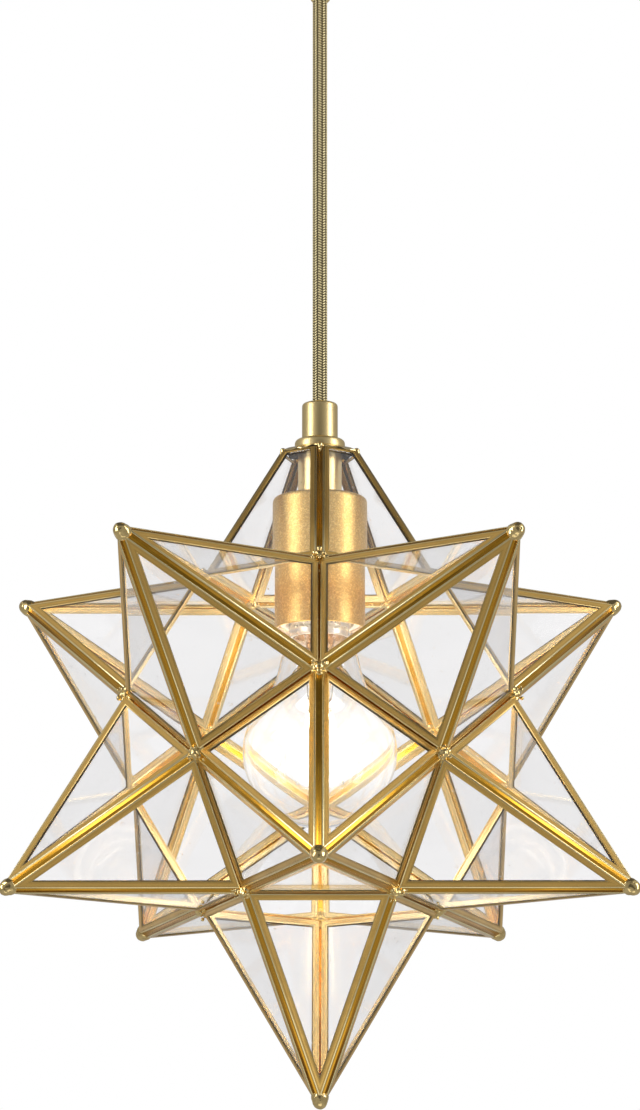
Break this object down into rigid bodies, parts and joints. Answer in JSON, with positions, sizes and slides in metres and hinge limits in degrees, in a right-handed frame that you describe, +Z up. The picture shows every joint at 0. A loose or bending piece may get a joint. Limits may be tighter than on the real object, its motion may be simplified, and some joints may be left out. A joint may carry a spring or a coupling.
{
  "type": "star pendant light",
  "caption": "Pendant light: a star of framed clear glass panes on a braided cord, with a ceiling canopy, a lamp in a cup holder and a hinged point as its door.",
  "frame": {"origin": "centre of the two box-screw slots, on the crossbar's top face, in the ceiling's plane", "axes": "+Z up into the ceiling; the front of the star faces -Y; the box-screw slots lie along X"},
  "size_m": [0.25, 0.2626, 0.5055],
  "materials": {
    "channel_brass": "polished folded sheet, lacquered",
    "solder_brass": "hand-run solder, brass plated",
    "satin_brass": "turned, satin",
    "speckled_gold": "gold powder coat with a fine speckle",
    "plated_steel": "zinc plated",
    "clear_glass": "clear float sheet",
    "lamp_glass": "clear, blown",
    "lamp_base": "rolled thin sheet",
    "lamp_contact": "black insulator with a metal button",
    "filament": "coated strip, lit",
    "porcelain": "glazed",
    "braid": "metallic braid",
    "lead_plastic": "insulated lead"
  },
  "bodies": {
    "ceiling": {"crossbar": "plated_steel", "canopy": "satin_brass", "canopy_screws": "plated_steel", "canopy_ball_nuts": "satin_brass", "canopy_grip": "satin_brass", "canopy_lock_nut": "plated_steel", "cord_tail": "braid"},
    "cord": {"cord": "braid"},
    "star": {"frame_point_top": "channel_brass", "frame_point_upper_front_left": "channel_brass", "frame_point_upper_front_right": "channel_brass", "frame_point_upper_right": "channel_brass", "frame_point_upper_left": "channel_brass", "frame_point_lower_front": "channel_brass", "frame_point_lower_right": "channel_brass", "frame_point_lower_rear_right": "channel_brass", "frame_point_lower_rear_left": "channel_brass", "frame_point_lower_left": "channel_brass", "frame_point_bottom": "channel_brass", "glass_point_top": "clear_glass", "glass_point_upper_front_left": "clear_glass", "glass_point_upper_front_right": "clear_glass", "glass_point_upper_right": "clear_glass", "glass_point_upper_left": "clear_glass", "glass_point_lower_front": "clear_glass", "glass_point_lower_right": "clear_glass", "glass_point_lower_rear_right": "clear_glass", "glass_point_lower_rear_left": "clear_glass", "glass_point_lower_left": "clear_glass", "glass_point_bottom": "clear_glass", "tip_balls": "solder_brass", "solder_joints_upper": "solder_brass", "solder_joints_lower": "solder_brass", "cap_plate": "satin_brass", "top_flange": "satin_brass", "cord_collar": "satin_brass", "collar_grub_screw": "plated_steel", "threaded_nipple": "plated_steel", "nipple_lock_nut": "plated_steel", "neck_tube": "speckled_gold", "socket_cup": "speckled_gold", "lampholder_cap": "porcelain", "lampholder_body": "porcelain", "lampholder_shell": "lamp_base", "lampholder_contact": "lamp_base", "terminal_screws": "plated_steel", "inner_leads": "lead_plastic", "hinge_leaf_fixed": "satin_brass", "hinge_pin": "satin_brass"},
    "door": {"door_frame": "channel_brass", "door_glass": "clear_glass", "door_tip_ball": "solder_brass", "door_solder": "solder_brass", "door_hinge_leaf": "satin_brass"},
    "lamp": {"bulb_glass": "lamp_glass", "bulb_base": "lamp_base", "bulb_contact": "lamp_contact", "bulb_stem": "lamp_glass", "bulb_filaments": "filament"}
  },
  "joints": [
    {"name": "cord_swing", "type": "hinge", "parent": "ceiling", "child": "cord", "pos_m": [0, 0, -0.032], "axis": [0, 1, 0], "range_deg": [-25, 25]},
    {"name": "star_turn", "type": "hinge", "parent": "cord", "child": "star", "pos_m": [0, 0, -0.2195], "axis": [0, 0, 1], "range_deg": [-170, 170]},
    {"name": "door_hinge", "type": "hinge", "parent": "star", "child": "door", "pos_m": [0, 0.04144, -0.29202], "axis": [1, 0, 0], "range_deg": [0, 100]},
    {"name": "lamp_out", "type": "slide", "parent": "star", "child": "lamp", "axis": [0, 0, -1], "range_m": [0, 0.027]}
  ]
}
